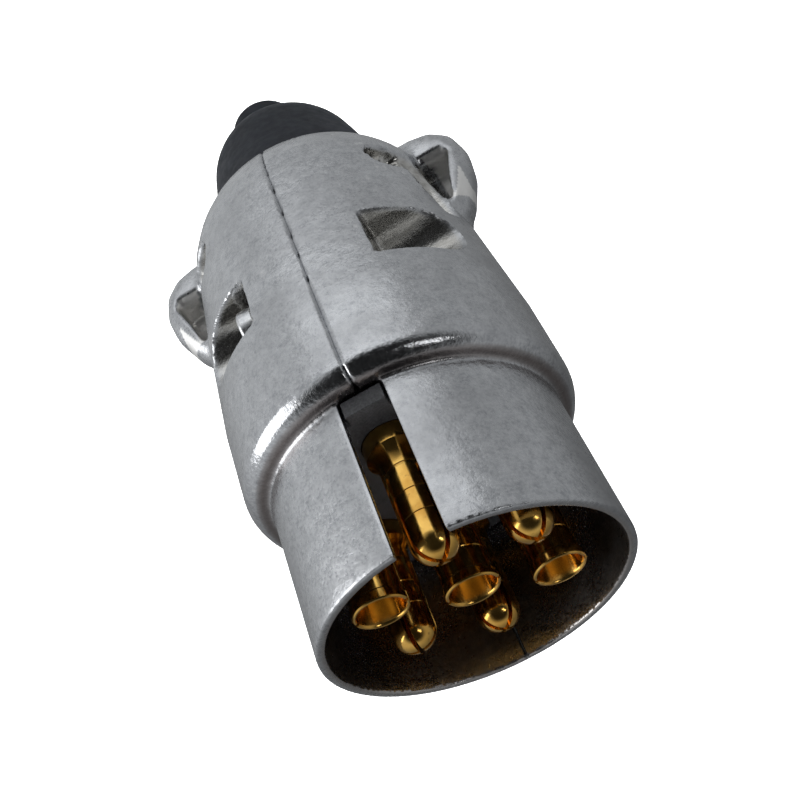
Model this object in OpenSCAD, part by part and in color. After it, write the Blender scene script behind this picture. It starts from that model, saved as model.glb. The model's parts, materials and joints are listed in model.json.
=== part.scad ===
// Seven-way trailer wiring plug: a die-cast casing in two halves, a moulded contact
// carrier with four split pins and three slit sleeves, wire terminals, a cord clamp
// and a rubber boot. Origin at the centre of the collar's mouth, +Y to the cable end,
// the mouth faces -Y, +Z towards the keyway. The casing parts on the plane X = 0.

/* [Collar] */
// Outer radius of the collar that enters the socket
collar_r = 19.5; // [19:0.1:20]
// Wall of the collar
collar_wall = 1.15; // [1:0.05:1.4]
// Depth of the collar, from its mouth to the shoulder
collar_len = 21; // [20:0.5:22]
// Width of the keyway slot
keyway_w = 5.74; // [5.5:0.02:6]

/* [Casing] */
// Largest radius of the casing body
body_r = 22.4; // [22.2:0.1:22.6]
// Overall length of the metal casing
body_len = 71.6; // [71:0.1:72.2]
// Radius of the casing at its rear edge
rear_r = 17.5; // [17.3:0.1:17.8]
// Gap between the two halves along the parting line
seam_gap = 0.12; // [0.08:0.02:0.2]
// Wall of the casing body
body_wall = 2.4; // [2.2:0.1:2.6]

/* [Housing screws] */
// Place of the front screws along the plug
front_screw_y = 42.5; // [42:0.1:43]
// Height of the front screws above and below the middle
front_screw_z = 14.5; // [14.3:0.1:14.7]
// Place of the rear screws along the plug
rear_screw_y = 61.1; // [60.9:0.1:61.3]
// Height of the rear screws above and below the middle
rear_screw_z = 13.4; // [13.2:0.1:13.6]

/* [Contacts] */
// Radius of the ring of outer contacts
ring_r = 11.2; // [11:0.05:11.3]
// Radius of the contact pins
pin_r = 2.85; // [2.75:0.05:2.9]
// Distance from the mouth to the tips of the pins
pin_tip_y = 1.5; // [1:0.1:2]
// Outer radius of the contact sleeves at their lip
sleeve_r = 3.45; // [3.35:0.05:3.5]
// Bore radius of the contact sleeves
sleeve_bore_r = 2.9; // [2.85:0.01:2.95]
// Distance from the mouth to the ends of the sleeves
sleeve_tip_y = 2.45; // [2:0.05:3]

/* [Boot] */
// Radius of the cable hole in the boot
cable_r = 4; // [3:0.25:4.5]
// Length of the boot behind the casing
boot_len = 32; // [31:0.5:33]

/* [Hidden] */
$fn = 96;

fit = 0.03;
run_fit = 0.06;
far = 40;
metal = "silver";
brass = "goldenrod";
steel = "lightsteelblue";

// Angles of the ring contacts, from +X towards +Z.
a_top = 90;
a_upper_right = 30;
a_lower_right = -30;
a_bottom = -90;
a_lower_left = -150;
a_upper_left = 150;

// Contact carrier.
carrier_front_y = 18.5;
carrier_r = 18.1;
flange_y0 = 22.8;
flange_y1 = 26;
flange_r = 20.2;
carrier_back_y = 30;
carrier_back_r = 18.6;
groove_gap = 0.2;
key_w = 5.1;
key_top_z = 19.1;
key_end_y = 20.7;

// Terminals behind the carrier.
barrel_r = 3.4;
barrel_end_y = 37;
wire_r = 2;
wire_depth = 6.2;
terminal_y = 33.6;
terminal_thread_r = 1.3;
terminal_reach = 4.6;
base_ring_r = 3.8;
base_front_y = 16;
base_back_y = 20.5;

// Casing inside.
cavity_back_y = 64.4;
lip_r = 15.9;
boot_groove_y0 = 66;
boot_groove_y1 = 69.2;
boot_groove_r = 17.4;

// Pockets for the front screws, open to the sides and away from the middle.
pocket_x = 8.65;
pocket_r = 4.5;
pocket_z = 15.3;
pocket_wall = 2;
front_boss_r = 3.6;

// Recesses for the rear screws, which run out into the valley beside each ear.
rear_seat_x = 9.5;
rear_pocket_r = 2.5;
rear_boss_r = 4.1;
valley_r = 3.5;
valley_front = [21.6, 49.5, 8.5];
valley_back = [19.7, 63.6, 11.8];

// Ears, the grips on both sides that the socket's cover locks on.
ear_top_z = 7.6;
ear_low_z = 0.4;
ear_round = 3;
ear_web = 2.6;
hollow_scoop_r = 12.2;
hollow_scoop_z = 14.6;
bevel_w = 1.1;

// Screws.
front_screw_r = 2;
front_head_r = 3.3;
front_head_h = 2.3;
rear_screw_r = 1.5;
rear_head_r = 2.3;
rear_head_h = 1.8;
washer_h = 0.8;

// Cord clamp.
clamp_y = 53.5;
clamp_w = 5.6;
clamp_t = 1.6;
clamp_x = 1.2;
clamp_screw_z = 8.2;
clamp_screw_r = 1.5;
clamp_arch_r = 4.4;
clamp_head_r = 2.5;
clamp_head_h = 1.8;
clamp_boss_r = 2.9;
clamp_boss_x = -1.4;

function arc(cx, cy, r, a0, a1, n) =
    [for (i = [0:n]) let (a = a0 + (a1 - a0) * i / n) [cx + r * cos(a), cy + r * sin(a)]];

// Turns a profile of [radius, place along the plug] about the plug's axis.
module turned(points) {
    rotate([-90, 0, 0]) rotate_extrude() polygon(points);
}

// A cylinder along +Y from y0 to y1.
module rod_y(r, y0, y1) {
    translate([0, y0, 0]) rotate([-90, 0, 0]) cylinder(r = r, h = y1 - y0);
}

// A cylinder along +X from x0 to x1 at a place in Y and Z.
module rod_x(r, x0, x1, y, z) {
    translate([x0, y, z]) rotate([0, 90, 0]) cylinder(r = r, h = x1 - x0);
}

// A box between two opposite corners.
module block(a, b) {
    translate(a) cube(b - a);
}

module above_and_below() {
    children();
    mirror([0, 0, 1]) children();
}

module both_sides() {
    children();
    mirror([1, 0, 0]) children();
}

// ---- Casing ----

shoulder_round = 2.6;
outer_profile = concat(
    [[0, 0], [collar_r, 0], [collar_r, collar_len]],
    arc(body_r - shoulder_round, collar_len + shoulder_round, shoulder_round, -90, 0, 6),
    [[body_r, 34], [body_r - 0.25, 40], [body_r - 0.7, 46], [body_r - 1.15, 54]],
    [[body_r - 1.55, 61], [body_r - 2.1, 65.5], [body_r - 3, 68.4]],
    [[body_r - 4, 70.4], [rear_r, body_len], [0, body_len]]
);

inner_r = collar_r - collar_wall;
cavity_profile = [
    [0, -1], [inner_r, -1], [inner_r, flange_y0 - groove_gap],
    [flange_r + groove_gap, flange_y0 - groove_gap],
    [flange_r + groove_gap, flange_y1 + groove_gap],
    [body_r - body_wall - 0.5, flange_y1 + groove_gap],
    [body_r - body_wall - 0.5, 36], [body_r - body_wall - 1.1, 46],
    [body_r - body_wall - 1.6, 54], [body_r - body_wall - 2.2, 61],
    [body_r - body_wall - 3.2, cavity_back_y], [lip_r, cavity_back_y],
    [lip_r, boot_groove_y0], [boot_groove_r, boot_groove_y0],
    [boot_groove_r, boot_groove_y1], [lip_r, boot_groove_y1],
    [lip_r, body_len + 1], [0, body_len + 1]
];

// The right ear's edges in plan, from its front round to its rear. Each is the direction
// that the edge faces and its distance from ear_middle.
ear_middle = [16, 61];
ear_edges = [
    [-84, 12.7], [-35.5, 9.9], [-24, 9.4], [-10, 9.6], [9, 10.4], [41, 11.45],
    [74, 10.95], [92, 10.3]
];

// A slab that faces +X, whose two long edges are rounded.
module rounded_slab(reach) {
    rotate([90, 0, 0]) linear_extrude(60, center = true) polygon(concat(
        [[-30, ear_low_z]],
        arc(reach - ear_round, ear_low_z + ear_round, ear_round, -90, 0, 5),
        arc(reach - ear_round, ear_top_z - ear_round, ear_round, 0, 90, 5),
        [[-30, ear_top_z]]
    ));
}

module ear() {
    intersection() {
        translate(ear_middle)
            intersection_for(edge = ear_edges) rotate([0, 0, edge[0]]) rounded_slab(edge[1]);
        block([10, 40, 0], [far, 80, far]);
    }
}

// The three-cornered hollow in an ear, with a scooped floor and a bevelled rear edge.
module ear_hollow() {
    intersection() {
        translate([0, 0, ear_web]) linear_extrude(10)
            polygon([[18.3, 64.2], [23.7, 63.8], [21.9, 58.6], [20.6, 53.6], [19.7, 54.8]]);
        rod_x(hollow_scoop_r, 10, 30, 63.5, hollow_scoop_z);
    }
    translate([0, 64, ear_top_z + 0.3]) rotate([45, 0, 0])
        block([18.7, -bevel_w, -bevel_w], [23.4, bevel_w, bevel_w]);
}

module front_pocket(r, x0) {
    rod_x(r, x0, far, front_screw_y, pocket_z);
    block([x0, front_screw_y - r, pocket_z], [far, front_screw_y + r, far]);
}

// A tapering valley between an ear and the body, from near the ear's front to its rear.
module valley() {
    run = valley_back - valley_front;
    length = norm(run);
    translate(valley_front)
        rotate([0, acos(run[2] / length), atan2(run[1], run[0])])
        cylinder(r = valley_r, h = length);
}

module rear_pocket() {
    rod_x(rear_pocket_r, rear_seat_x, far, rear_screw_y, rear_screw_z);
}

// Where the rear pocket runs down into the valley above an ear.
module ear_valley() {
    intersection() {
        union() {
            valley();
            block([rear_seat_x + 5, rear_screw_y - 1.5, 10.5],
                [far, rear_screw_y + rear_pocket_r, rear_screw_z]);
        }
        block([0, 40, ear_top_z], [far, rear_screw_y + rear_pocket_r, far]);
    }
}

// What stays solid inside the cavity round the screws and behind the recesses.
module bosses() {
    above_and_below() {
        both_sides() {
            front_pocket(pocket_r + pocket_wall, pocket_x - pocket_wall);
            rod_x(front_boss_r, -1, far, front_screw_y, front_screw_z);
            rod_x(rear_boss_r, -1, far, rear_screw_y, rear_screw_z);
            block([-1, rear_screw_y - rear_boss_r, rear_screw_z],
                [far, rear_screw_y + rear_boss_r, far]);
            block([13.6, 48, 3], [far, 66, 16]);
        }
    }
}

module casing() {
    difference() {
        union() {
            turned(outer_profile);
            both_sides() ear();
        }
        difference() {
            turned(cavity_profile);
            intersection() {
                bosses();
                turned([[0, 34], [body_r - 1, 34], [body_r - 1, 64.4], [0, 64.4]]);
            }
        }
        above_and_below() both_sides() {
            front_pocket(pocket_r, pocket_x);
            rear_pocket();
        }
        both_sides() {
            ear_valley();
            ear_hollow();
        }
        block([-keyway_w / 2, -1, 10], [keyway_w / 2, collar_len, far]);
    }
}

// One half of the casing, with the clearances for its own side of each screw.
module casing_half(side) {
    intersection() {
        casing();
        block([side > 0 ? seam_gap / 2 : -far, -5, -far],
            [side > 0 ? far : -seam_gap / 2, 100, far]);
    }
}

// Two screw bosses with a hollowed saddle for the cord between them.
module cord_saddle() {
    difference() {
        intersection() {
            union() {
                above_and_below()
                    rod_x(clamp_boss_r, -far, clamp_boss_x, clamp_y, clamp_screw_z);
                block([-far, clamp_y - clamp_w / 2, -clamp_screw_z],
                    [clamp_boss_x, clamp_y + clamp_w / 2, clamp_screw_z]);
            }
            turned([[0, 34], [body_r - 2, 34], [body_r - 2, 60], [0, 60]]);
        }
        rod_y(clamp_arch_r, clamp_y - 10, clamp_y + 10);
    }
}

module left_casing_half() {
    color(metal) difference() {
        union() {
            casing_half(-1);
            cord_saddle();
        }
        above_and_below() {
            rod_x(front_screw_r + run_fit, -far, 1, front_screw_y, front_screw_z);
            rod_x(rear_screw_r + run_fit, -far, 1, rear_screw_y, rear_screw_z);
            rod_x(clamp_screw_r + run_fit, -10, 1, clamp_y, clamp_screw_z);
        }
    }
}

module right_casing_half() {
    color(metal) difference() {
        casing_half(1);
        above_and_below() {
            rod_x(front_screw_r + run_fit, -1, far, front_screw_y, front_screw_z);
            rod_x(rear_screw_r + run_fit, -1, far, rear_screw_y, rear_screw_z);
        }
    }
}

// ---- Contact carrier ----

module ring_place(angle) {
    translate([ring_r * cos(angle), 0, ring_r * sin(angle)]) children();
}

module contact_holes() {
    rod_y(barrel_r + fit, base_back_y, 100);
    rod_y(base_ring_r + fit, base_front_y, base_back_y);
}

module contact_carrier() {
    color([0.08, 0.08, 0.09]) difference() {
        union() {
            turned([
                [0, carrier_front_y], [carrier_r - 0.5, carrier_front_y],
                [carrier_r, carrier_front_y + 0.5], [carrier_r, flange_y0],
                [flange_r, flange_y0], [flange_r, flange_y1],
                [carrier_back_r, flange_y1], [carrier_back_r, carrier_back_y],
                [0, carrier_back_y]
            ]);
            block([-key_w / 2, carrier_front_y, 0], [key_w / 2, key_end_y, key_top_z]);
        }
        for (i = [0:5]) ring_place(30 + 60 * i) contact_holes();
        contact_holes();
    }
}

// ---- Contacts ----

// The part of a contact that sits in the carrier and takes the wire.
module terminal(angle) {
    difference() {
        rod_y(barrel_r, base_back_y - 0.1, barrel_end_y);
        rod_y(wire_r, barrel_end_y - wire_depth, barrel_end_y + 1);
        translate([0, terminal_y, 0]) rotate([0, 90 - angle, 0])
            cylinder(r = terminal_thread_r + run_fit, h = 10);
    }
}

base_profile = [
    [0, base_back_y], [base_ring_r, base_back_y],
    [base_ring_r, base_front_y + 0.3], [base_ring_r - 0.2, base_front_y],
    [pin_r, base_front_y - 1], [0, base_front_y - 1]
];

slit_w = 0.6;
slit_len = 11.2;
sleeve_slit_len = 9;
slit_turn = 45;

module pin_contact(angle) {
    color(brass) difference() {
        union() {
            terminal(angle);
            turned(base_profile);
            turned(concat(
                [[0, base_front_y], [pin_r, base_front_y]],
                [[pin_r, pin_tip_y + 2.6]],
                arc(pin_r - 2.6, pin_tip_y + 2.6, 2.6, 0, -84.5, 8),
                [[0, pin_tip_y]]
            ));
        }
        translate([0, pin_tip_y, 0])
            for (a = [0, 90]) rotate([0, slit_turn + a, 0])
                block([-pin_r - 1, -1, -slit_w / 2], [pin_r + 1, slit_len, slit_w / 2]);
    }
}

module sleeve_contact(angle) {
    sleeve_body_r = sleeve_r - 0.2;
    color(brass) difference() {
        union() {
            terminal(angle);
            turned(base_profile);
            turned([
                [0, base_front_y], [sleeve_body_r, base_front_y],
                [sleeve_body_r, sleeve_tip_y + 1.4], [sleeve_r, sleeve_tip_y + 1.2],
                [sleeve_r, sleeve_tip_y], [0, sleeve_tip_y]
            ]);
        }
        rod_y(sleeve_bore_r, sleeve_tip_y - 1, base_front_y + 0.5);
        translate([0, sleeve_tip_y, 0])
            block([-sleeve_r - 1, -1, -slit_w / 2], [sleeve_r + 1, sleeve_slit_len, slit_w / 2]);
    }
}

// ---- Screws ----

// A cheese-head screw along -Z, its head's underside at the origin.
module screw(r, head_r, head_h, length) {
    difference() {
        union() {
            rotate_extrude() polygon(concat(
                [[0, 0], [head_r, 0]],
                arc(head_r - 0.5, head_h - 0.5, 0.5, 0, 90, 4),
                [[0, head_h]]
            ));
            translate([0, 0, -length]) cylinder(r = r, h = length + 0.1);
        }
        for (a = [0, 90]) rotate([0, 0, a])
            block([-head_r * 0.58, -head_r * 0.13, head_h * 0.4],
                [head_r * 0.58, head_r * 0.13, head_h + 1]);
    }
}

// A terminal screw stands radially, backed out so that its tip clears the wire hole.
module terminal_screw(angle, reach) {
    color(steel) translate([0, terminal_y, 0]) rotate([0, 90 - angle, 0])
        translate([0, 0, reach]) screw(terminal_thread_r, 1.9, 1.4, reach - wire_r - 0.1);
}

module ring_terminal_screw(angle) {
    ring_place(angle) terminal_screw(angle, terminal_reach);
}

module housing_screw(r, head_r, head_h, x_seat, x_tip, y, z) {
    color(steel) translate([x_seat, y, z]) rotate([0, -90, 0])
        screw(r, head_r, head_h, x_tip - x_seat);
}

module front_screw() {
    housing_screw(front_screw_r, front_head_r, front_head_h, -pocket_x - washer_h,
        pocket_x - 0.3, front_screw_y, front_screw_z);
}

module rear_screw() {
    housing_screw(rear_screw_r, rear_head_r, rear_head_h, -rear_seat_x,
        rear_seat_x - 0.3, rear_screw_y, rear_screw_z);
}

module front_washer() {
    color(steel) difference() {
        rod_x(3.1, -pocket_x - washer_h, -pocket_x, front_screw_y, front_screw_z);
        rod_x(front_screw_r + 0.1, -20, 0, front_screw_y, front_screw_z);
    }
}

// ---- Cord clamp ----

module clamp_bar() {
    half = clamp_screw_z + clamp_head_r;
    color(steel) difference() {
        union() {
            block([clamp_x, clamp_y - clamp_w / 2, -half],
                [clamp_x + clamp_t, clamp_y + clamp_w / 2, half]);
            rod_y(clamp_arch_r + clamp_t, clamp_y - clamp_w / 2, clamp_y + clamp_w / 2);
        }
        rod_y(clamp_arch_r, clamp_y - 10, clamp_y + 10);
        block([-far, clamp_y - 10, -far], [clamp_x, clamp_y + 10, far]);
        above_and_below()
            rod_x(clamp_screw_r + run_fit, -far, far, clamp_y, clamp_screw_z);
    }
}

module clamp_screw() {
    color(steel) translate([clamp_x + clamp_t, clamp_y, clamp_screw_z])
        rotate([0, 90, 0]) screw(clamp_screw_r, clamp_head_r, clamp_head_h, 10);
}

// ---- Boot ----

dome_y = 84.7;
dome_r = 13.2;
boot_neck_r = 5.8;

module rubber_boot() {
    flange_r0 = boot_groove_r - 0.2;
    neck_r0 = lip_r - 0.1;
    color([0.1, 0.1, 0.11]) difference() {
        turned(concat(
            [[0, boot_groove_y0 + 0.2], [flange_r0, boot_groove_y0 + 0.2]],
            [[flange_r0, boot_groove_y1 - 0.1], [neck_r0, boot_groove_y1 - 0.1]],
            [[neck_r0, body_len]],
            arc(0, dome_y, dome_r, 15, 62, 10),
            [[boot_neck_r, dome_y + 12.3], [boot_neck_r - 0.1, dome_y + 14]],
            arc(boot_neck_r - 1.6, body_len + boot_len - 1.6, 1.6, 0, 90, 5),
            [[0, body_len + boot_len]]
        ));
        turned([
            [0, 60], [lip_r - 2.2, 60], [lip_r - 2.2, 74], [dome_r - 2.2, dome_y],
            [dome_r - 4.5, dome_y + 6], [cable_r, dome_y + 9],
            [cable_r, 120], [0, 120]
        ]);
    }
}

module front_screw_upper() { front_screw(); }
module front_screw_lower() { mirror([0, 0, 1]) front_screw(); }
module rear_screw_upper() { rear_screw(); }
module rear_screw_lower() { mirror([0, 0, 1]) rear_screw(); }
module front_washer_upper() { front_washer(); }
module front_washer_lower() { mirror([0, 0, 1]) front_washer(); }
module clamp_screw_upper() { clamp_screw(); }
module clamp_screw_lower() { mirror([0, 0, 1]) clamp_screw(); }
module pin_contact_top() { ring_place(a_top) pin_contact(a_top); }
module pin_contact_upper_right() { ring_place(a_upper_right) pin_contact(a_upper_right); }
module pin_contact_bottom() { ring_place(a_bottom) pin_contact(a_bottom); }
module pin_contact_lower_left() { ring_place(a_lower_left) pin_contact(a_lower_left); }
module sleeve_contact_centre() { sleeve_contact(0); }
module sleeve_contact_lower_right() { ring_place(a_lower_right) sleeve_contact(a_lower_right); }
module sleeve_contact_upper_left() { ring_place(a_upper_left) sleeve_contact(a_upper_left); }

left_casing_half();
right_casing_half();
contact_carrier();
pin_contact_top();
pin_contact_upper_right();
pin_contact_bottom();
pin_contact_lower_left();
sleeve_contact_centre();
sleeve_contact_lower_right();
sleeve_contact_upper_left();
ring_terminal_screw(a_top);  // terminal_screw_top
ring_terminal_screw(a_upper_right);  // terminal_screw_upper_right
ring_terminal_screw(a_lower_right);  // terminal_screw_lower_right
ring_terminal_screw(a_bottom);  // terminal_screw_bottom
ring_terminal_screw(a_lower_left);  // terminal_screw_lower_left
ring_terminal_screw(a_upper_left);  // terminal_screw_upper_left
terminal_screw(0, terminal_reach);  // terminal_screw_centre
front_screw_upper();
front_screw_lower();
rear_screw_upper();
rear_screw_lower();
front_washer_upper();
front_washer_lower();
clamp_bar();
clamp_screw_upper();
clamp_screw_lower();
rubber_boot();
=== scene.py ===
"""The looks of a seven-way trailer plug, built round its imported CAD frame.

Everything is in metres in the frame of the CAD model: +Y runs along the plug to the cable
end, +Z points to the keyway and the collar's mouth is at Y = 0.
"""
import json
import math

import bmesh
import bpy
import numpy as np
from mathutils import Matrix, Quaternion, Vector


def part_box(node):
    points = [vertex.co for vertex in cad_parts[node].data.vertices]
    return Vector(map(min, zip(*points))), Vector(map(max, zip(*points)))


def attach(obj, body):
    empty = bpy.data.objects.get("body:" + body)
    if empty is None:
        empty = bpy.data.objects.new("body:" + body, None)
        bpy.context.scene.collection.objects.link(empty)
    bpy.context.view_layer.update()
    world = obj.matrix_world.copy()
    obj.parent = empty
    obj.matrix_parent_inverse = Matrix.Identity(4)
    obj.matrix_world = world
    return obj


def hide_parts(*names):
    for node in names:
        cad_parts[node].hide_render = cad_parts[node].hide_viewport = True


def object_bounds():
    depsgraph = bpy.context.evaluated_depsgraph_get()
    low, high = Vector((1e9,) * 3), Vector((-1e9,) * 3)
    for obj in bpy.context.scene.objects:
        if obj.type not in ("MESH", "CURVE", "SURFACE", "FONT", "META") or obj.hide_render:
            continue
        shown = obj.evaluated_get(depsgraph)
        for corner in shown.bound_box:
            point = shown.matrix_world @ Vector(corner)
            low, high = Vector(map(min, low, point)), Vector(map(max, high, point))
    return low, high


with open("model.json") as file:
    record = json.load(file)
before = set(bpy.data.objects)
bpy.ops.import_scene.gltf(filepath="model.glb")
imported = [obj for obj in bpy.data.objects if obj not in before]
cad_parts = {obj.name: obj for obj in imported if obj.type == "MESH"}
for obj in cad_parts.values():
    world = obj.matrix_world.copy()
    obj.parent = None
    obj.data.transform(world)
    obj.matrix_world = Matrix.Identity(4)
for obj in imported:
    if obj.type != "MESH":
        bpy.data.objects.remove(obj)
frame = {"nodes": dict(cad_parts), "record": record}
cad_low, cad_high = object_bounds()

MM = 0.001
NODES = frame["nodes"]
BODY_OF = {n: b for b, members in frame["record"]["behaviour"]["bodies"].items() for n in members}


RANGE_INPUTS = ("From Min", "From Max", "To Min", "To Max")


# ---- Camera, floor and lights ----

def aim(obj, place, target, roll=0.0):
    """Puts obj at a place, looking at a target, turned by roll degrees about its view."""
    obj.location = place
    obj.rotation_mode = "QUATERNION"
    look = (Vector(target) - Vector(place)).to_track_quat("-Z", "Y")
    obj.rotation_quaternion = look @ Quaternion((0, 0, 1), math.radians(roll))


LENS, CAMERA_ROLL = 42.79, -37.07
CAMERA_PLACE, CAMERA_TARGET = Vector((15.55, -47.56, 99.04)), Vector((3.40, 19.87, 15.55))


def make_camera():
    data = bpy.data.cameras.new("camera")
    data.lens = LENS
    data.sensor_width = 36
    data.clip_start = 0.005
    data.clip_end = 10
    camera = bpy.data.objects.new("camera", data)
    bpy.context.scene.collection.objects.link(camera)
    aim(camera, CAMERA_PLACE * MM, CAMERA_TARGET * MM, CAMERA_ROLL)
    bpy.context.scene.camera = camera


def make_floor():
    """A pale floor that curves up into a backdrop far away, as in a photographer's cove."""
    low = cad_low.z - 0.0002
    rings, around = 24, 96
    flat, tall = 0.6, 0.9
    mesh = bmesh.new()
    rows = []
    for i in range(rings + 1):
        t = i / rings
        radius = flat * t if t < 0.5 else flat * 0.5 + (t - 0.5) * 2 * flat
        height = 0 if t < 0.5 else tall * ((t - 0.5) * 2) ** 3
        rows.append([
            mesh.verts.new((radius * math.cos(a), radius * math.sin(a), low + height))
            for a in np.linspace(0, 2 * math.pi, around, endpoint=False)
        ] if i else [mesh.verts.new((0, 0, low))] * around)
    for inner, outer in zip(rows, rows[1:]):
        for j in range(around):
            k = (j + 1) % around
            corners = [inner[j], outer[j], outer[k], inner[k]]
            mesh.faces.new(list(dict.fromkeys(corners)))
    data = bpy.data.meshes.new("floor")
    mesh.to_mesh(data)
    mesh.free()
    data.shade_smooth()
    floor = bpy.data.objects.new("floor", data)
    bpy.context.scene.collection.objects.link(floor)
    floor.visible_glossy = False
    m = Material("studio_floor", (0.93, 0.93, 0.93), roughness=0.9)
    tone = m.ramp(m.noise(40, 3), [(0.3, (0.92, 0.92, 0.92)), (0.7, (0.95, 0.95, 0.95))])
    m.link(tone, m.shader.inputs["Base Color"])
    m.shader.inputs["Emission Color"].default_value = (1, 1, 1, 1)
    m.shader.inputs["Emission Strength"].default_value = 1.1
    data.materials.append(m.data)


def soft_light(name, place, size, power, colour=(1, 1, 1)):
    data = bpy.data.lights.new(name, "AREA")
    data.shape = "RECTANGLE"
    data.size, data.size_y = size
    data.energy = power
    data.color = colour
    light = bpy.data.objects.new(name, data)
    bpy.context.scene.collection.objects.link(light)
    aim(light, place, (0, 0.04, 0))


SIDE_GLOW = (0.44, 0.72)
BELOW_GLOW = 0.3
FRONT_GLOW = 0.04


def make_lights():
    soft_light("overhead", (0.05, 0.45, 0.60), (0.7, 0.5), 0.65, (0.97, 0.985, 1.0))
    soft_light("left_side", (-0.55, 0.0, 0.25), (0.5, 0.4), 1.7)
    soft_light("right_front", (0.40, -0.35, 0.40), (0.08, 0.2), 0.22)
    make_surroundings()


def make_surroundings():
    """A soft studio: brighter on the left than on the right, dimmer below, dark in front above."""
    world = bpy.data.worlds.new("studio")
    world.use_nodes = True
    bpy.context.scene.world = world
    tree = world.node_tree
    direction = tree.nodes.new("ShaderNodeTexCoord").outputs["Generated"]

    def along(way, low, high, to_low, to_high):
        """A value that goes from to_low to to_high as the direction turns towards a way."""
        dot = tree.nodes.new("ShaderNodeVectorMath")
        dot.operation = "DOT_PRODUCT"
        tree.links.new(direction, dot.inputs[0])
        dot.inputs[1].default_value = Vector(way).normalized()
        made = tree.nodes.new("ShaderNodeMapRange")
        made.interpolation_type = "SMOOTHSTEP"
        tree.links.new(dot.outputs["Value"], made.inputs["Value"])
        for name, value in zip(RANGE_INPUTS, (low, high, to_low, to_high)):
            made.inputs[name].default_value = value
        return made.outputs["Result"]

    def times(one, two):
        made = tree.nodes.new("ShaderNodeMath")
        made.operation = "MULTIPLY"
        tree.links.new(one, made.inputs[0])
        tree.links.new(two, made.inputs[1])
        return made.outputs[0]

    side = along((-1, 0, 0), -1, 1, *SIDE_GLOW)
    below = along((0, 0, 1), -0.9, 0.0, BELOW_GLOW, 1)
    dark_front = along((0.11, -0.62, 0.77), 0.45, 0.82, 1, FRONT_GLOW)
    sky = tree.nodes["Background"]
    sky.inputs["Color"].default_value = (0.965, 0.985, 1.0, 1)
    tree.links.new(times(times(side, below), dark_front), sky.inputs["Strength"])


# ---- Materials ----

class Material:
    """A principled material whose textures run in the object's own coordinates."""

    def __init__(self, name, colour, metallic=0.0, roughness=0.5):
        self.data = bpy.data.materials.new(name)
        self.data.use_nodes = True
        self.data.diffuse_color = (*colour, 1)
        self.tree = self.data.node_tree
        self.shader = self.tree.nodes["Principled BSDF"]
        self.shader.inputs["Base Color"].default_value = (*colour, 1)
        self.shader.inputs["Metallic"].default_value = metallic
        self.shader.inputs["Roughness"].default_value = roughness
        self.coords = self.tree.nodes.new("ShaderNodeTexCoord").outputs["Object"]

    def node(self, kind, **inputs):
        made = self.tree.nodes.new(kind)
        for key, value in inputs.items():
            self.set(made.inputs[key], value)
        return made

    def link(self, source, target):
        self.tree.links.new(source, target)

    def set(self, socket, value):
        if isinstance(value, bpy.types.NodeSocket):
            self.link(value, socket)
        else:
            socket.default_value = value

    def scaled(self, x, y, z):
        made = self.node("ShaderNodeMapping", Vector=self.coords)
        made.inputs["Scale"].default_value = (x, y, z)
        return made.outputs["Vector"]

    def noise(self, scale, detail=4, roughness=0.55, vector=None, distortion=0.0):
        made = self.node("ShaderNodeTexNoise", Vector=vector or self.coords, Scale=scale,
                         Detail=detail, Roughness=roughness, Distortion=distortion)
        return made.outputs["Fac"]

    def cells(self, scale):
        return self.node("ShaderNodeTexVoronoi", Vector=self.coords, Scale=scale)

    def ramp(self, fac, stops):
        made = self.node("ShaderNodeValToRGB", Fac=fac)
        elements = made.color_ramp.elements
        while len(elements) < len(stops):
            elements.new(0.5)
        for element, (place, colour) in zip(elements, stops):
            element.position = place
            element.color = (*colour, 1)
        return made.outputs["Color"]

    def level(self, value, low, high, to_low=0.0, to_high=1.0):
        made = self.node("ShaderNodeMapRange", Value=value)
        for name, number in zip(RANGE_INPUTS, (low, high, to_low, to_high)):
            made.inputs[name].default_value = number
        return made.outputs["Result"]

    def math(self, operation, a, b):
        made = self.tree.nodes.new("ShaderNodeMath")
        made.operation = operation
        self.set(made.inputs[0], a)
        self.set(made.inputs[1], b)
        return made.outputs[0]

    def mix(self, fac, a, b, blend="MIX"):
        made = self.tree.nodes.new("ShaderNodeMix")
        made.data_type = "RGBA"
        made.blend_type = blend
        self.set(made.inputs[0], fac)
        for socket, value in ((made.inputs[6], a), (made.inputs[7], b)):
            self.set(socket, value if isinstance(value, bpy.types.NodeSocket) else (*value, 1))
        return made.outputs[2]

    def attribute(self, name):
        made = self.tree.nodes.new("ShaderNodeAttribute")
        made.attribute_name = name
        return made.outputs["Fac"]

    def pointiness(self):
        return self.tree.nodes.new("ShaderNodeNewGeometry").outputs["Pointiness"]

    def bump(self, height, depth, strength=1.0, under=None):
        made = self.node("ShaderNodeBump", Height=height, Strength=strength, Distance=depth)
        if under is not None:
            self.link(under, made.inputs["Normal"])
        return made.outputs["Normal"]

    def finish(self, colour=None, roughness=None, normal=None):
        for name, value in (("Base Color", colour), ("Roughness", roughness), ("Normal", normal)):
            if value is not None:
                self.link(value, self.shader.inputs[name])
        return self.data


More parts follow.
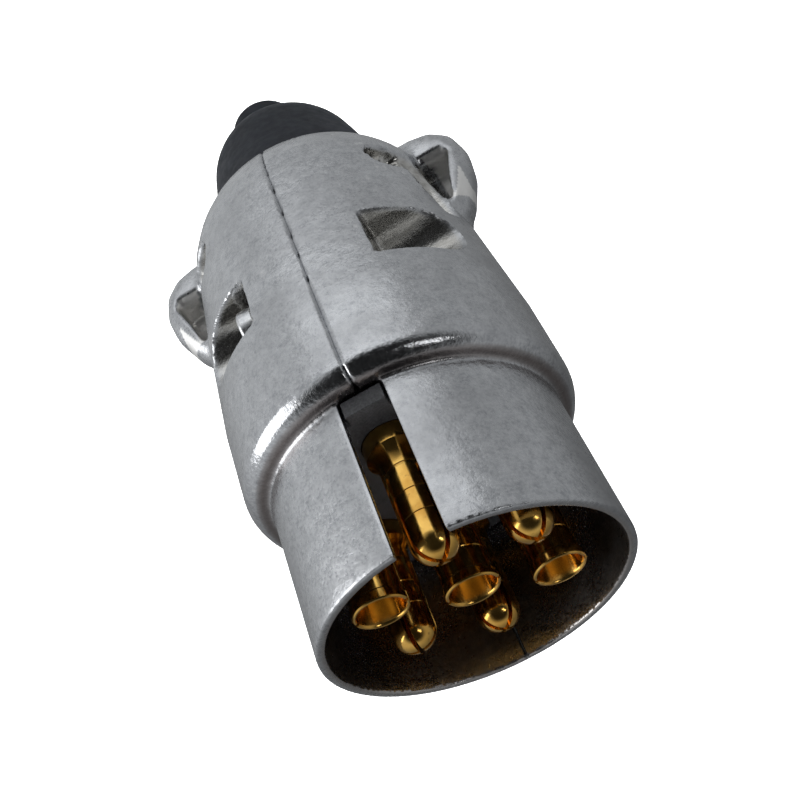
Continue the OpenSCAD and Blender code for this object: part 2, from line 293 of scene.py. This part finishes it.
def cast_metal():
    """Die-cast alloy: mottled satin skin, worn edges, streaked recesses, a polished shoulder;
    painted shade inside the collar and in the shoulder's crease, a painted highlight on the ear
    hollow's floor.
    """
    m = Material("cast_metal", (0.45, 0.46, 0.47), metallic=1.0, roughness=0.4)
    grain = m.noise(2600, 3, 0.6)
    blotch = m.noise(700, 4, 0.6)
    patch = m.noise(90, 3, 0.5, distortion=0.6)
    colour = m.ramp(blotch, [(0.3, (0.33, 0.34, 0.36)), (0.7, (0.54, 0.55, 0.57))])
    colour = m.mix(m.level(grain, 0.35, 0.65, 0.0, 0.5), colour, (0.68, 0.69, 0.70))
    colour = m.mix(m.level(patch, 0.35, 0.7, 0.0, 0.45), colour, (0.33, 0.335, 0.345))
    recess = m.attribute("recess")
    inside = m.attribute("inside")
    streaks = m.noise(1.0, 3, 0.55, m.scaled(130, 700, 700), 0.8)
    recess_colour = m.ramp(streaks, [(0.3, (0.33, 0.32, 0.30)), (0.7, (0.60, 0.595, 0.58))])
    colour = m.mix(recess, colour, recess_colour)
    # Painted shade: the inside of the collar is darkened to a brown grey.
    colour = m.mix(m.math("MULTIPLY", inside, 0.55), colour, (0.34, 0.30, 0.27))
    # Painted shade: the crease at the foot of the shoulder is darkened to a dark brown.
    shoulder_crease_shade = m.attribute("shoulder_crease_shade")
    colour = m.mix(m.math("MULTIPLY", shoulder_crease_shade, 0.75), colour, (0.14, 0.10, 0.085))
    # Painted highlight: the floor of the ear's hollow is lightened to near white, and made
    # rougher.
    hollow_floor_highlight = m.attribute("hollow_floor_highlight")
    colour = m.mix(m.math("MULTIPLY", hollow_floor_highlight, 0.85), colour, (0.93, 0.92, 0.90))
    edge = m.level(m.pointiness(), 0.54, 0.64)
    colour = m.mix(m.math("MULTIPLY", edge, 0.4), colour, (0.80, 0.80, 0.80))
    sparkle = m.level(m.cells(3000).outputs["Color"], 0.86, 0.9)
    rough = m.level(grain, 0.3, 0.7, 0.22, 0.34)
    rough = m.math("SUBTRACT", rough, m.math("MULTIPLY", sparkle, 0.06))
    rough = m.math("SUBTRACT", rough, m.math("MULTIPLY", recess, 0.08))
    rough = m.math("SUBTRACT", rough, m.math("MULTIPLY", m.attribute("shoulder"), 0.13))
    rough = m.math("ADD", rough, m.math("MULTIPLY", hollow_floor_highlight, 0.15))
    rough = m.math("ADD", rough, m.level(patch, 0.35, 0.65, -0.04, 0.06))
    rings = m.noise(1.0, 2, 0.5, m.scaled(120, 5200, 120))
    normal = m.bump(rings, 0.000006, 0.5)
    normal = m.bump(blotch, 0.00011, 0.6, normal)
    normal = m.bump(grain, 0.000035, 0.8, normal)
    return m.finish(colour, rough, normal)


def brass():
    """Turned and polished brass, with fine rings from the lathe and a few dark flecks."""
    m = Material("contact_brass", (0.83, 0.6, 0.24), metallic=1.0, roughness=0.16)
    tone = m.noise(350, 3)
    colour = m.ramp(tone, [(0.3, (0.55, 0.29, 0.06)), (0.7, (0.80, 0.50, 0.13))])
    flecks = m.level(m.noise(1700, 4, 0.7), 0.60, 0.72, 0.0, 0.55)
    colour = m.mix(flecks, colour, (0.20, 0.12, 0.04))
    rings = m.noise(1.0, 2, 0.5, m.scaled(60, 7000, 60))
    rough = m.level(m.noise(900, 3), 0.3, 0.7, 0.10, 0.24)
    normal = m.bump(rings, 0.000005, 0.5)
    normal = m.bump(m.noise(1400, 2), 0.00001, 0.25, normal)
    return m.finish(colour, rough, normal)


def carrier_plastic():
    """Black moulded plastic with the fine grain of a spark-eroded mould."""
    m = Material("carrier_plastic", (0.02, 0.02, 0.022), roughness=0.5)
    grain = m.noise(4200, 3, 0.65)
    colour = m.ramp(grain, [(0.35, (0.009, 0.009, 0.011)), (0.68, (0.035, 0.036, 0.039))])
    rough = m.level(m.noise(500, 3), 0.3, 0.7, 0.42, 0.6)
    return m.finish(colour, rough, m.bump(grain, 0.00004, 0.6))


def boot_rubber():
    """Charcoal moulded rubber, faintly dusty, with a soft fine grain."""
    m = Material("boot_rubber", (0.035, 0.037, 0.042), roughness=0.6)
    m.shader.inputs["Specular IOR Level"].default_value = 0.15
    dust = m.noise(220, 4, 0.6)
    colour = m.ramp(dust, [(0.3, (0.005, 0.0065, 0.010)), (0.75, (0.010, 0.0125, 0.018))])
    grain = m.noise(3500, 3, 0.6)
    rough = m.level(m.noise(700, 3), 0.3, 0.7, 0.5, 0.66)
    return m.finish(colour, rough, m.bump(grain, 0.00002, 0.4))


def zinc_steel():
    """Bright zinc plating over steel, a little cloudy and finely scratched."""
    m = Material("zinc_steel", (0.66, 0.67, 0.69), metallic=1.0, roughness=0.28)
    cloud = m.noise(900, 4)
    colour = m.ramp(cloud, [(0.3, (0.52, 0.53, 0.55)), (0.7, (0.74, 0.75, 0.76))])
    scratches = m.noise(1.0, 3, 0.7, m.scaled(1200, 9000, 4000))
    rough = m.level(m.noise(2200, 3), 0.3, 0.7, 0.2, 0.36)
    return m.finish(colour, rough, m.bump(scratches, 0.000006, 0.4))


# ---- Mesh helpers ----

def piece_from(bm, name, material, sharp=35):
    """A smooth-shaded object from bm, whose edges sharper than the angle stay crisp."""
    bmesh.ops.recalc_face_normals(bm, faces=bm.faces[:])
    data = bpy.data.meshes.new(name)
    bm.to_mesh(data)
    bm.free()
    data.shade_smooth()
    data.set_sharp_from_angle(angle=math.radians(sharp))
    obj = bpy.data.objects.new(name, data)
    bpy.context.scene.collection.objects.link(obj)
    data.materials.append(material)
    return obj


def lathe(bm, profile, around=96, centre=(0, 0), lean=None):
    """Turns a closed outline of [radius, y] in millimetres about the Y axis at a centre."""
    rows = []
    for r, y in profile:
        shift = lean(y) if lean else 0
        if r < 1e-6:
            rows.append([bm.verts.new(((centre[0] + shift) * MM, y * MM, centre[1] * MM))])
            continue
        rows.append([
            bm.verts.new(((centre[0] + shift + r * math.cos(a)) * MM, y * MM,
                          (centre[1] + r * math.sin(a)) * MM))
            for a in np.linspace(0, 2 * math.pi, around, endpoint=False)
        ])
    for one, two in zip(rows, rows[1:] + rows[:1]):
        if len(one) == len(two) == 1:
            continue
        for j in range(around):
            k = (j + 1) % around
            corners = [one[j % len(one)], two[j % len(two)], two[k % len(two)], one[k % len(one)]]
            bm.faces.new(list(dict.fromkeys(corners)))


def arc(centre_r, centre_y, radius, start, stop, steps):
    """Points of [radius, y] on an arc, with angles in degrees from the outward direction."""
    return [
        (centre_r + radius * math.cos(math.radians(a)),
         centre_y + radius * math.sin(math.radians(a)))
        for a in np.linspace(start, stop, steps + 1)
    ]


def box_cutter(size, matrix):
    bm = bmesh.new()
    bmesh.ops.create_cube(bm, size=1, matrix=matrix @ Matrix.Diagonal((*size, 1)))
    data = bpy.data.meshes.new("cutter")
    bm.to_mesh(data)
    bm.free()
    obj = bpy.data.objects.new("cutter", data)
    bpy.context.scene.collection.objects.link(obj)
    return obj


def rod_cutter(radius, start, end, around=48):
    """A closed cylinder between two points, in metres."""
    run = Vector(end) - Vector(start)
    bm = bmesh.new()
    turn = run.to_track_quat("Z", "Y").to_matrix().to_4x4()
    turn.translation = (Vector(start) + Vector(end)) / 2
    bmesh.ops.create_cone(bm, cap_ends=True, segments=around, radius1=radius, radius2=radius,
                          depth=run.length, matrix=turn)
    data = bpy.data.meshes.new("cutter")
    bm.to_mesh(data)
    bm.free()
    obj = bpy.data.objects.new("cutter", data)
    bpy.context.scene.collection.objects.link(obj)
    return obj


def settle(obj, sharp=35):
    """Applies obj's modifiers and shades it again."""
    graph = bpy.context.evaluated_depsgraph_get()
    data = bpy.data.meshes.new_from_object(obj.evaluated_get(graph))
    obj.modifiers.clear()
    obj.data = data
    data.shade_smooth()
    data.set_sharp_from_angle(angle=math.radians(sharp))
    return obj


def cut(obj, cutters, bevel=0.05, sharp=35):
    """Cuts the cutters out of obj, then rounds its edges by bevel millimetres."""
    for cutter in cutters:
        step = obj.modifiers.new("cut", "BOOLEAN")
        step.object = cutter
        step.solver = "EXACT"
    settle(obj)
    for cutter in cutters:
        bpy.data.objects.remove(cutter)
    if bevel:
        weld = obj.modifiers.new("weld", "WELD")
        weld.merge_threshold = 0.002 * MM
        step = obj.modifiers.new("bevel", "BEVEL")
        step.width = bevel * MM
        step.segments = 2
        step.limit_method = "ANGLE"
        step.angle_limit = math.radians(sharp)
        settle(obj, 60)
    return obj


def show(obj, node):
    """obj stands for a CAD node and moves with that node's body."""
    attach(obj, BODY_OF[node])
    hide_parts(node)
    return obj


def axis_of(node):
    """The place of a node's axis along Y, as (x, z) in millimetres."""
    low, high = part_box(node)
    middle = (low + high) / 2 / MM
    return middle.x, middle.z


# ---- Casing ----

BODY_LINE = [(21, 19.5), (21.3, 20.6), (22.2, 21.9), (24, 22.4), (34, 22.4), (46, 21.7),
             (54, 21.25), (61, 20.85), (65.5, 20.3), (68.4, 19.4), (70.4, 18.4), (71.6, 17.5)]
# Radius and length of the collar, in millimetres, as all sizes below.
COLLAR_R, COLLAR_LEN = 19.5, 21.0
COLLAR_INNER_R, RIM_DEPTH = 18.35, 0.575
VOXEL = 0.3
SEAM_HALF_GAP = 0.015
SEAM_REACH = 0.13
SKIN_TRIANGLES = 190000


def neighbours_mean(co, edges, weight, rounds):
    """Moves each point part of the way to the mean of its neighbours, a few times."""
    count = np.bincount(edges.ravel(), minlength=len(co)).astype(float)
    for _ in range(rounds):
        total = np.zeros_like(co)
        for axis in range(3):
            total[:, axis] = (
                np.bincount(edges[:, 0], co[edges[:, 1], axis], len(co))
                + np.bincount(edges[:, 1], co[edges[:, 0], axis], len(co))
            )
        co = co + (total / count[:, None] - co) * weight[:, None]
    return co


def near_rear_pocket(mm):
    """1 in the valley that a rear screw's recess runs out into, 0 elsewhere."""
    x, y, z = np.abs(mm[:, 0]), mm[:, 1], mm[:, 2]
    return ((x > 10) & (y > 52) & (y < 65) & (z > 7.8) & (z < 16.5)).astype(float)


def trued(co, mm):
    """Puts points near the turned faces exactly on them, and rounds the mouth's rim."""
    x, y, z = mm[:, 0], mm[:, 1], mm[:, 2]
    clear = (np.abs(x) > 3.3) | (z < 0)
    co = co.copy()
    rho = np.hypot(co[:, 0], co[:, 2])
    line = np.array(BODY_LINE)
    target = rho.copy()
    outside = clear & (y > RIM_DEPTH) & (y < COLLAR_LEN - 0.5) & (np.abs(rho - COLLAR_R) < 0.2)
    target[outside] = COLLAR_R
    within = clear & (y > RIM_DEPTH) & (y < 18) & (np.abs(rho - COLLAR_INNER_R) < 0.2)
    target[within] = COLLAR_INNER_R
    body = np.interp(y, line[:, 0], line[:, 1])
    skin = (y > 24.5) & (y < 68) & (np.abs(rho - body) < 0.12) & (np.abs(x) > 0.4)
    target[skin] = body[skin]
    rim = clear & (y <= RIM_DEPTH) & (rho > 18)
    out, down = rho - (COLLAR_R + COLLAR_INNER_R) / 2, co[:, 1] - RIM_DEPTH
    reach = (np.abs(out) ** 4 + np.abs(down) ** 4) ** 0.25 + 1e-9
    target[rim] = (rho - out + out * RIM_DEPTH / reach)[rim]
    co[rim, 1] = (RIM_DEPTH + down * RIM_DEPTH / reach)[rim]
    scale = target / np.maximum(rho, 1e-6)
    co[:, 0] *= scale
    co[:, 2] *= scale
    return co


def points_of(data):
    co = np.empty(len(data.vertices) * 3)
    data.vertices.foreach_get("co", co)
    return co.reshape(-1, 3)


def skin_masks(mm):
    """How much each point, in millimetres, belongs to a part of the skin that looks different."""
    x, y, z = np.abs(mm[:, 0]), mm[:, 1], mm[:, 2]
    rho = np.hypot(mm[:, 0], z)
    line = np.array(BODY_LINE)
    outer = np.where(y < COLLAR_LEN, COLLAR_R, np.interp(y, line[:, 0], line[:, 1]))
    # Painted highlight mask: the floor of the ear's hollow.
    hollow_floor_highlight = (rho > 20.9) & (x < 23.9) & (z > 2.2) & (z < 7.2) & (np.abs(y - 59.5) < 5.5)
    shoulder = np.clip(1 - np.abs(y - 22.4) / 1.8, 0, 1) * (rho > 18.8)
    return {
        "recess": np.clip((outer - rho - 0.35) / 0.5, 0, 1) * (y > 34),
        # Painted shade mask: the inside of the collar.
        "inside": np.clip((outer - rho - 0.45) / 0.4, 0, 1) * (y < 24),
        "shoulder": np.clip(2 * shoulder, 0, 1),
        # Painted shade mask: the crease at the foot of the shoulder.
        "shoulder_crease_shade": np.clip(1 - np.abs(y - 21.1) / 0.55, 0, 1) * (rho > 18.8) * (rho < 21.2),
        "hollow_floor_highlight": hollow_floor_highlight.astype(float),
    }


def snapped_to_seam(co):
    """Puts the points on the parting face close to the plane where the halves meet."""
    co = co.copy()
    seam = np.abs(co[:, 0]) < SEAM_REACH * MM
    co[seam, 0] = np.sign(co[seam, 0]) * SEAM_HALF_GAP * MM
    return co


def casing_shell(node, name, material):
    """The casing half as one cast skin: rounded edges, ears that flow into the body."""
    data = NODES[node].data.copy()
    obj = bpy.data.objects.new(name, data)
    bpy.context.scene.collection.objects.link(obj)
    bm = bmesh.new()
    bm.from_mesh(data)
    bmesh.ops.remove_doubles(bm, verts=bm.verts[:], dist=1e-7)
    bm.to_mesh(data)
    bm.free()
    step = obj.modifiers.new("skin", "REMESH")
    step.mode = "VOXEL"
    step.voxel_size = VOXEL * MM
    settle(obj)
    data = obj.data
    co = points_of(data)
    edges = np.empty(len(data.edges) * 2, np.int32)
    data.edges.foreach_get("vertices", edges)
    edges = edges.reshape(-1, 2)
    mm = co / MM
    ear = np.clip((np.abs(mm[:, 0]) - 17.6) / 1.0, 0, 1)
    ear *= ((mm[:, 1] > 46) & (mm[:, 2] > -2.5) & (mm[:, 2] < 13)).astype(float)
    co = neighbours_mean(co, edges, np.full(len(co), 0.5), 2)
    co = neighbours_mean(co, edges, 0.5 * ear, 10)
    co = neighbours_mean(co, edges, 0.5 * near_rear_pocket(mm), 12)
    co = trued(co / MM, mm) * MM
    co = snapped_to_seam(co)
    data.vertices.foreach_set("co", co.ravel())
    data.update()
    data.calc_loop_triangles()
    thin = obj.modifiers.new("thin", "DECIMATE")
    thin.ratio = min(1.0, SKIN_TRIANGLES / len(data.loop_triangles))
    settle(obj)
    data = obj.data
    co = snapped_to_seam(points_of(data))
    data.vertices.foreach_set("co", co.ravel())
    for key, values in skin_masks(co / MM).items():
        made = data.attributes.new(key, "FLOAT", "POINT")
        made.data.foreach_set("value", values.astype(np.float32))
    data.update()
    data.shade_smooth()
    data.materials.clear()
    data.materials.append(material)
    return show(obj, node)


# ---- Contacts ----

BASE_R, BASE_FRONT, BASE_BACK = 3.8, 16.0, 20.5
BARREL_R, BARREL_END = 3.4, 37.0
WIRE_R, WIRE_DEPTH = 2.0, 6.2
TERMINAL_Y, TERMINAL_HOLE_R = 33.6, 1.36
PIN_R, DOME_R = 2.85, 2.6
SLIT_W, PIN_SLIT_LEN, SLEEVE_SLIT_LEN = 0.6, 11.2, 9

BACK_OUTLINE = [
    (BASE_R, BASE_FRONT + 0.3), (BASE_R, BASE_BACK), (BARREL_R, BASE_BACK),
    (BARREL_R, BARREL_END - 0.3), (BARREL_R - 0.3, BARREL_END), (WIRE_R + 0.25, BARREL_END),
    (WIRE_R, BARREL_END - 0.25), (WIRE_R, BARREL_END - WIRE_DEPTH),
    (0, BARREL_END - WIRE_DEPTH - 1.0)
]


def groove(r, y, width=0.16, depth=0.06):
    """A fine turned groove in a shank of radius r, on the way from the tip to the base."""
    return [(r, y - width / 2), (r - depth, y), (r, y + width / 2)]


def terminal_cutter(centre, angle):
    """The threaded hole for the terminal screw, from the barrel's side into the wire hole."""
    start = Vector((centre[0], TERMINAL_Y, centre[1])) * MM
    out = Vector((math.cos(angle), 0, math.sin(angle)))
    return rod_cutter(TERMINAL_HOLE_R * MM, start, start + out * 6 * MM)


def slit_cutter(centre, tip, depth, turn):
    turned = Matrix.Rotation(turn, 4, "Y")
    turned.translation = Vector((centre[0], tip + depth / 2 - 0.5, centre[1])) * MM
    return box_cutter((10 * MM, (depth + 1) * MM, SLIT_W * MM), turned)


def pin_contact(node, material, turn):
    """A split pin: domed tip, four leaves, two turning marks, base ring and wire barrel."""
    centre = axis_of(node)
    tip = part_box(node)[0].y / MM
    dome_y = tip + DOME_R
    dome = arc(PIN_R - DOME_R, dome_y, DOME_R, -84.5, 0, 14)
    outline = [(0, tip), *dome]
    for y in (6.7, 9.8, 13.4):
        outline += groove(PIN_R, y)
    outline += [(PIN_R, BASE_FRONT - 1), (BASE_R - 0.25, BASE_FRONT), *BACK_OUTLINE]
    bm = bmesh.new()
    lathe(bm, outline, centre=centre)
    obj = piece_from(bm, node + "_brass", material)
    angle = math.atan2(centre[1], centre[0])
    cutters = [slit_cutter(centre, tip, PIN_SLIT_LEN, turn + k * math.pi / 2) for k in (0, 1)]
    cut(obj, [*cutters, terminal_cutter(centre, angle)], 0.06)
    return show(obj, node)


SLEEVE_R, SLEEVE_BORE_R = 3.45, 2.9


def sleeve_contact(node, material):
    """A slit sleeve: raised lip, chamfered bore, base ring and wire barrel."""
    centre = axis_of(node)
    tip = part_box(node)[0].y / MM
    body = SLEEVE_R - 0.2
    outline = [
        (0, BASE_FRONT + 0.5), (SLEEVE_BORE_R, BASE_FRONT + 0.5), (SLEEVE_BORE_R, tip + 0.3),
        (SLEEVE_BORE_R + 0.2, tip), (SLEEVE_R - 0.15, tip), (SLEEVE_R, tip + 0.15),
        (SLEEVE_R, tip + 1.2), (body, tip + 1.45), *groove(body, tip + 4.2),
        *groove(body, tip + 9.0), (body, BASE_FRONT - 0.3), (BASE_R - 0.3, BASE_FRONT),
        *BACK_OUTLINE
    ]
    bm = bmesh.new()
    lathe(bm, outline, centre=centre)
    obj = piece_from(bm, node + "_brass", material)
    angle = math.atan2(centre[1], centre[0]) if max(map(abs, centre)) > 1 else 0
    cutters = [slit_cutter(centre, tip, SLEEVE_SLIT_LEN, 0), terminal_cutter(centre, angle)]
    cut(obj, cutters, 0.05)
    return show(obj, node)


# ---- Screws ----

CROWN_ROUND, FOOT_BEVEL = 0.55, 0.12
# Radius of the shank, radius of the head, height of the head and length of the shank.
FRONT_SCREW = (2.0, 3.3, 2.3, 17.8)
REAR_SCREW = (1.5, 2.3, 1.8, 18.7)
CLAMP_SCREW = (1.5, 2.5, 1.8, 10.0)
TERMINAL_SCREW = (1.3, 1.9, 1.4, 2.5)
TERMINAL_REACH = 4.6
LEFT, RIGHT = (-1, 0, 0), (1, 0, 0)

def threaded_shank(bm, radius, length, pitch, depth=0.22):
    """A closed shank from the origin down -Z, with a helical thread and a pointed start."""
    around, per_pitch = 36, 8
    count = max(12, round(length / pitch * per_pitch))
    rows = []
    for i in range(count + 1):
        z = -length * i / count
        fade = min(1, (length + z) / 0.7)
        row = []
        for a in np.linspace(0, 2 * math.pi, around, endpoint=False):
            phase = z / pitch + a / (2 * math.pi)
            ridge = abs(2 * (phase - math.floor(phase)) - 1)
            r = radius - depth * min(1, 1.4 * ridge) - 0.3 * (1 - fade)
            row.append(bm.verts.new((r * math.cos(a) * MM, r * math.sin(a) * MM, z * MM)))
        rows.append(row)
    for one, two in zip(rows, rows[1:]):
        for j in range(around):
            k = (j + 1) % around
            bm.faces.new((one[j], one[k], two[k], two[j]))
    bm.faces.new(rows[0])
    bm.faces.new(rows[-1][::-1])


def screw(node, material, sizes, out, seat):
    """A cross-recessed screw: seat is the underside of its head and out points to its head."""
    radius, head_r, head_h, length = sizes
    bm = bmesh.new()
    crown = arc(head_r - CROWN_ROUND, head_h - CROWN_ROUND, CROWN_ROUND, 0, 90, 6)
    outline = [(0, 0), (head_r - FOOT_BEVEL, 0), (head_r, FOOT_BEVEL), *crown, (0, head_h)]
    lathe(bm, outline, around=64)
    bmesh.ops.rotate(bm, verts=bm.verts[:], matrix=Matrix.Rotation(math.pi / 2, 3, "X"))
    head = piece_from(bm, node + "_screw", material)
    cutters = []
    for turn in (0, math.pi / 2):
        place = Matrix.Rotation(turn, 4, "Z")
        place.translation = Vector((0, 0, head_h * 0.95)) * MM
        slot = (head_r * 1.16 * MM, head_r * 0.26 * MM, head_h * 1.1 * MM)
        cutters.append(box_cutter(slot, place))
    cut(head, cutters, 0.05)
    bm = bmesh.new()
    bm.from_mesh(head.data)
    threaded_shank(bm, radius, length, 0.7 if radius > 1.4 else 0.5)
    bmesh.ops.recalc_face_normals(bm, faces=bm.faces[:])
    turn = Vector(out).to_track_quat("Z", "Y").to_matrix().to_4x4()
    turn.translation = Vector(seat)
    bmesh.ops.transform(bm, verts=bm.verts[:], matrix=turn)
    bm.to_mesh(head.data)
    bm.free()
    head.data.shade_smooth()
    head.data.set_sharp_from_angle(angle=math.radians(40))
    return show(head, node)


def head_seat(node, out, head_h):
    """The underside of a screw's head, from the node's box and the way that its head points."""
    low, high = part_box(node)
    middle = (low + high) / 2
    out = Vector(out)
    top = max((Vector(c) - middle).dot(out) for c in (low, high))
    return middle + out * (top - head_h * MM)


def make_screws(material):
    for where in ("upper", "lower"):
        for kind, sizes, out in (("front", FRONT_SCREW, LEFT), ("rear", REAR_SCREW, LEFT),
                                 ("clamp", CLAMP_SCREW, RIGHT)):
            node = kind + "_screw_" + where
            screw(node, material, sizes, out, head_seat(node, out, sizes[2]))
    for node in sorted(n for n in NODES if n.startswith("terminal_screw_")):
        x, z = axis_of(find_contact(node))
        out = Vector((x, 0, z)).normalized() if max(abs(x), abs(z)) > 1 else Vector(RIGHT)
        seat = Vector((x, TERMINAL_Y, z)) * MM + out * TERMINAL_REACH * MM
        screw(node, material, TERMINAL_SCREW, out, seat)


def find_contact(screw_node):
    place = screw_node.replace("terminal_screw", "_contact")
    return next(n for n in NODES if n.endswith(place))


# ---- Boot ----

def boot(material):
    """The rubber boot: a collar in the casing, a cone and dome, and a neck that leans a little."""
    flange_r, neck_r, end = 17.2, 15.8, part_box("rubber_boot")[1].y / MM
    dome_y, dome_r, tube_r, hole_r = 84.7, 13.2, 5.8, 4.0

    def lean(y):
        return -1.3 * (max(0, y - 82) / 22) ** 1.6

    outer = [
        (flange_r - 0.4, 66.2), (flange_r, 66.6), (flange_r, 68.7), (flange_r - 0.4, 69.1),
        (neck_r, 69.3), (neck_r, 71.2), (neck_r - 0.1, 72.0)
    ]
    dome = arc(0, dome_y, dome_r, 14, 60, 22)
    for t in np.linspace(0.1, 0.9, 9):
        outer.append((neck_r - 0.1 + (dome[0][0] - neck_r + 0.1) * t, 72 + (dome[0][1] - 72) * t))
    outer += dome
    outer += arc(tube_r + 1.3, dome[-1][1] + 1.9, 1.2, 205, 180, 5)
    outer += [(tube_r, end - 5), (tube_r + 0.15, end - 3.4)]
    outer += arc(tube_r - 1.45, end - 1.6, 1.6, 0, 90, 8)
    inner = [
        (hole_r + 0.3, end - 0.05), (hole_r, end - 0.5), (hole_r, dome_y + 9.2),
        (dome_r - 4.5, dome_y + 6), (dome_r - 2.2, dome_y), (13.7, 74), (13.7, 66.5), (14.1, 66.2)
    ]
    bm = bmesh.new()
    lathe(bm, outer + inner, around=128, lean=lean)
    obj = piece_from(bm, "rubber_boot_skin", material, 50)
    step = obj.modifiers.new("smooth", "SUBSURF")
    step.levels = step.render_levels = 1
    settle(obj, 60)
    return show(obj, "rubber_boot")


# ---- CAD nodes that stay ----

def keep_node(node, material, bevel):
    """A CAD node whose shape is right, with finely rounded edges and its material."""
    obj = NODES[node]
    obj.data.materials.clear()
    obj.data.materials.append(material)
    weld = obj.modifiers.new("weld", "WELD")
    weld.merge_threshold = 0.0005 * MM
    step = obj.modifiers.new("bevel", "BEVEL")
    step.width = bevel * MM
    step.segments = 3
    step.limit_method = "ANGLE"
    step.angle_limit = math.radians(40)
    step.harden_normals = True


def build():
    bpy.context.scene.view_settings.view_transform = "Standard"
    make_camera()
    make_floor()
    make_lights()
    cast, yellow, plastic = cast_metal(), brass(), carrier_plastic()
    rubber, steel = boot_rubber(), zinc_steel()
    casing_shell("left_casing_half", "left_casing_shell", cast)
    casing_shell("right_casing_half", "right_casing_shell", cast)
    for where in ("top", "upper_right", "bottom"):
        pin_contact("pin_contact_" + where, yellow, math.pi / 4)
    pin_contact("pin_contact_lower_left", yellow, 0)
    for where in ("centre", "lower_right", "upper_left"):
        sleeve_contact("sleeve_contact_" + where, yellow)
    make_screws(steel)
    boot(rubber)
    keep_node("contact_carrier", plastic, 0.25)
    for node in ("front_washer_upper", "front_washer_lower", "clamp_bar"):
        keep_node(node, steel, 0.12)


build()
